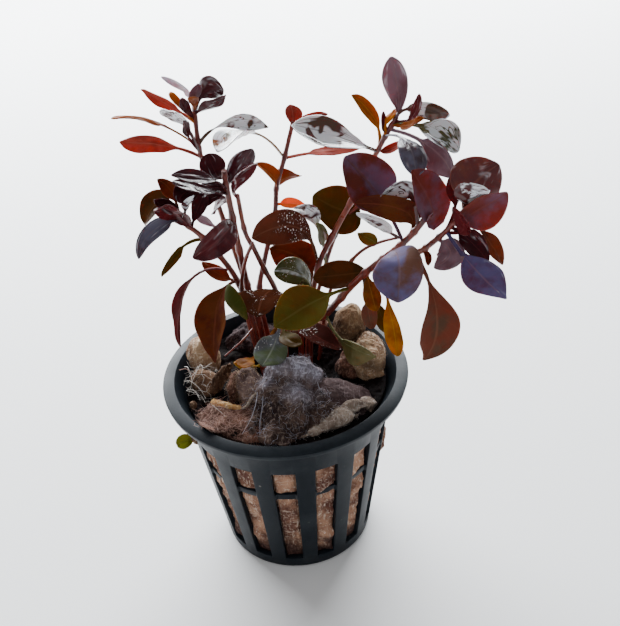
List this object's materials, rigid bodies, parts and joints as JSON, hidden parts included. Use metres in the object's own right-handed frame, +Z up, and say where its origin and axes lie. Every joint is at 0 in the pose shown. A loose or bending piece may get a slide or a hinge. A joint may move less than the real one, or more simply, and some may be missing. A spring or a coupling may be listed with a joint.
{
  "type": "potted red aquarium stem plant",
  "caption": "A bunch of red-stemmed aquarium plants with glossy burgundy, olive and orange leaves, rooted in torn mineral wool in a slotted black net pot.",
  "frame": {"origin": "centre of the pot's underside, on the surface that it stands on", "axes": "+Z up along the pot's axis, -Y the side seen in front, +X to the right of that"},
  "size_m": [0.0744, 0.054, 0.1121],
  "materials": {
    "pot_plastic": "satin, blue-black, paler on the lip",
    "mineral_wool": "matt brown fibre",
    "stem_skin": "glossy, see-through red-brown",
    "leaf_skin": "wet gloss, burgundy to olive"
  },
  "bodies": {
    "root": {"net_pot": "pot_plastic", "wool_core": "mineral_wool", "wool_front_tuft": "mineral_wool", "wool_left_tuft": "mineral_wool", "wool_right_tuft": "mineral_wool", "left_tall_stem": "stem_skin", "left_dark_stem": "stem_skin", "left_low_stem": "stem_skin", "left_second_stem": "stem_skin", "middle_stem": "stem_skin", "right_top_stem": "stem_skin", "right_inner_stem": "stem_skin", "right_main_stem": "stem_skin", "right_low_stem": "stem_skin", "right_back_stem": "stem_skin", "tall_back_leaf": "leaf_skin", "tall_edge_leaf": "leaf_skin", "tall_red_leaf": "leaf_skin", "tall_right_leaf": "leaf_skin", "dark_right_leaf": "leaf_skin", "dark_glare_leaf": "leaf_skin", "dark_wing_leaf": "leaf_skin", "low_round_leaf": "leaf_skin", "low_droop_leaf": "leaf_skin", "low_slip_leaf": "leaf_skin", "low_hanging_leaf": "leaf_skin", "low_big_leaf": "leaf_skin", "middle_glare_leaf": "leaf_skin", "middle_right_leaf": "leaf_skin", "speckled_leaf": "leaf_skin", "middle_brown_leaf": "leaf_skin", "top_pointing_leaf": "leaf_skin", "top_orange_leaf": "leaf_skin", "top_upright_leaf": "leaf_skin", "top_spotted_leaf": "leaf_skin", "top_olive_leaf": "leaf_skin", "top_blue_leaf": "leaf_skin", "top_purple_leaf": "leaf_skin", "round_purple_leaf": "leaf_skin", "brown_front_leaf": "leaf_skin", "olive_back_leaf": "leaf_skin", "upright_red_leaf": "leaf_skin", "near_round_leaf": "leaf_skin", "orange_hanging_leaf": "leaf_skin", "cluster_round_leaf": "leaf_skin", "cluster_pointed_leaf": "leaf_skin", "cluster_grey_leaf": "leaf_skin", "cluster_blue_leaf": "leaf_skin", "cluster_hanging_leaf": "leaf_skin", "front_wide_leaf": "leaf_skin", "front_round_leaf": "leaf_skin", "front_green_leaf": "leaf_skin", "front_brown_leaf": "leaf_skin", "front_wet_leaf": "leaf_skin", "front_folded_leaf": "leaf_skin", "left_tall_bud": "leaf_skin", "left_dark_bud": "leaf_skin", "left_low_bud": "leaf_skin", "middle_bud": "leaf_skin", "right_low_bud": "leaf_skin"}
  },
  "joints": []
}
